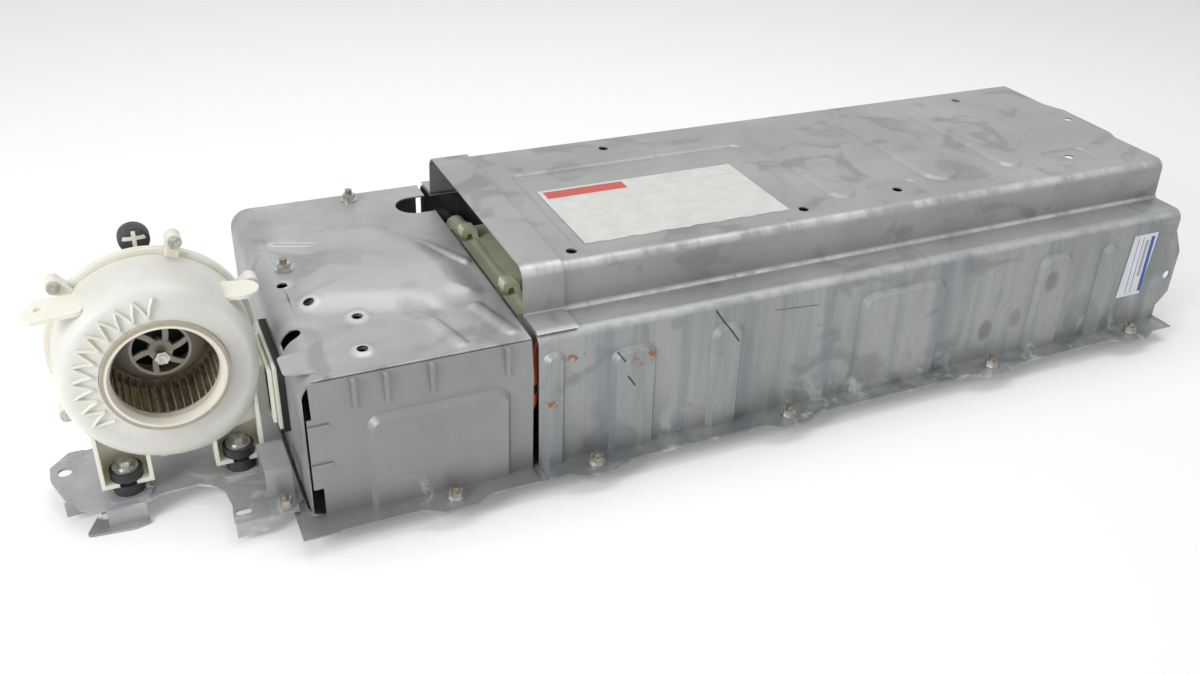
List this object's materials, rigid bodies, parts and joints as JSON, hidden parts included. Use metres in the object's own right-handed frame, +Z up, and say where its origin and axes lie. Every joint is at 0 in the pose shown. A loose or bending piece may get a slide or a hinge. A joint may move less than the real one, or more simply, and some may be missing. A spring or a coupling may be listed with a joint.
{
  "type": "ev battery module",
  "caption": "Hybrid traction battery pack in pressed steel covers on a shallow tray, with a junction box and a plastic cooling blower on rubber mounts.",
  "frame": {"origin": "centre of the tray's flat underside, where the pack stands", "axes": "+X from the blower along the battery to its far end, +Y towards the back, away from the blower's inlet, +Z up"},
  "size_m": [1.007, 0.36, 0.1991],
  "materials": {
    "galvanised_cover": "galvanised pressed steel with handling stains",
    "galvanised_box": "galvanised pressed steel",
    "galvanised_panel": "galvanised pressed steel",
    "galvanised_tray": "galvanised pressed steel",
    "bracket_steel": "galvanised sheet",
    "module_case": "filled plastic",
    "black_moulding": "moulded",
    "plated_steel": "zinc plated, dull",
    "stud_steel": "zinc plated, lightly rusted",
    "duct_plastic": "natural moulding",
    "loom_black": "corrugated tube",
    "cable_orange": "insulation with black tape bands",
    "ecu_case": "cast",
    "relay_plastic": "moulded",
    "blower_plastic": "natural polypropylene",
    "foam_black": "closed-cell foam",
    "fan_plastic": "dusty moulding",
    "motor_can": "black",
    "cap_black": "moulded",
    "grommet_rubber": "moulded rubber"
  },
  "bodies": {
    "pack": {"air_duct": "duct_plastic", "battery_cover": "galvanised_cover", "battery_ecu": "ecu_case", "blower_back": "blower_plastic", "blower_bracket": "bracket_steel", "blower_motor": "motor_can", "blower_shell": "blower_plastic", "busbar_frame_front": "black_moulding", "busbar_frame_rear": "black_moulding", "duct_seal": "foam_black", "end_plate_left": "black_moulding", "end_plate_right": "black_moulding", "flange_nuts": "plated_steel", "flange_studs": "stud_steel", "foot_bolts": "plated_steel", "grommet_left": "grommet_rubber", "grommet_right": "grommet_rubber", "housing_screws": "plated_steel", "hv_cable": "cable_orange", "inlet_ring": "blower_plastic", "junction_cover": "galvanised_box", "junction_front": "galvanised_panel", "loom_connector": "duct_plastic", "loom_tube": "loom_black", "lower_tray": "galvanised_tray", "module_01": "module_case", "module_02": "module_case", "module_03": "module_case", "module_04": "module_case", "module_05": "module_case", "module_06": "module_case", "module_07": "module_case", "module_08": "module_case", "module_09": "module_case", "module_10": "module_case", "module_11": "module_case", "module_12": "module_case", "module_13": "module_case", "module_14": "module_case", "module_15": "module_case", "module_16": "module_case", "module_17": "module_case", "module_18": "module_case", "module_19": "module_case", "module_20": "module_case", "module_21": "module_case", "module_22": "module_case", "module_23": "module_case", "module_24": "module_case", "module_25": "module_case", "module_26": "module_case", "module_27": "module_case", "module_28": "module_case", "outlet_duct": "blower_plastic", "relay_block": "relay_plastic", "strap_bracket": "bracket_steel", "tie_rods": "plated_steel", "vent_cap": "cap_black"},
    "fan": {"fan_wheel": "fan_plastic", "fan_shaft": "plated_steel"}
  },
  "joints": [
    {"name": "fan_spin", "type": "hinge", "parent": "pack", "child": "fan", "pos_m": [-0.488, -0.05, 0.116], "axis": [0, 1, 0], "continuous": true}
  ]
}
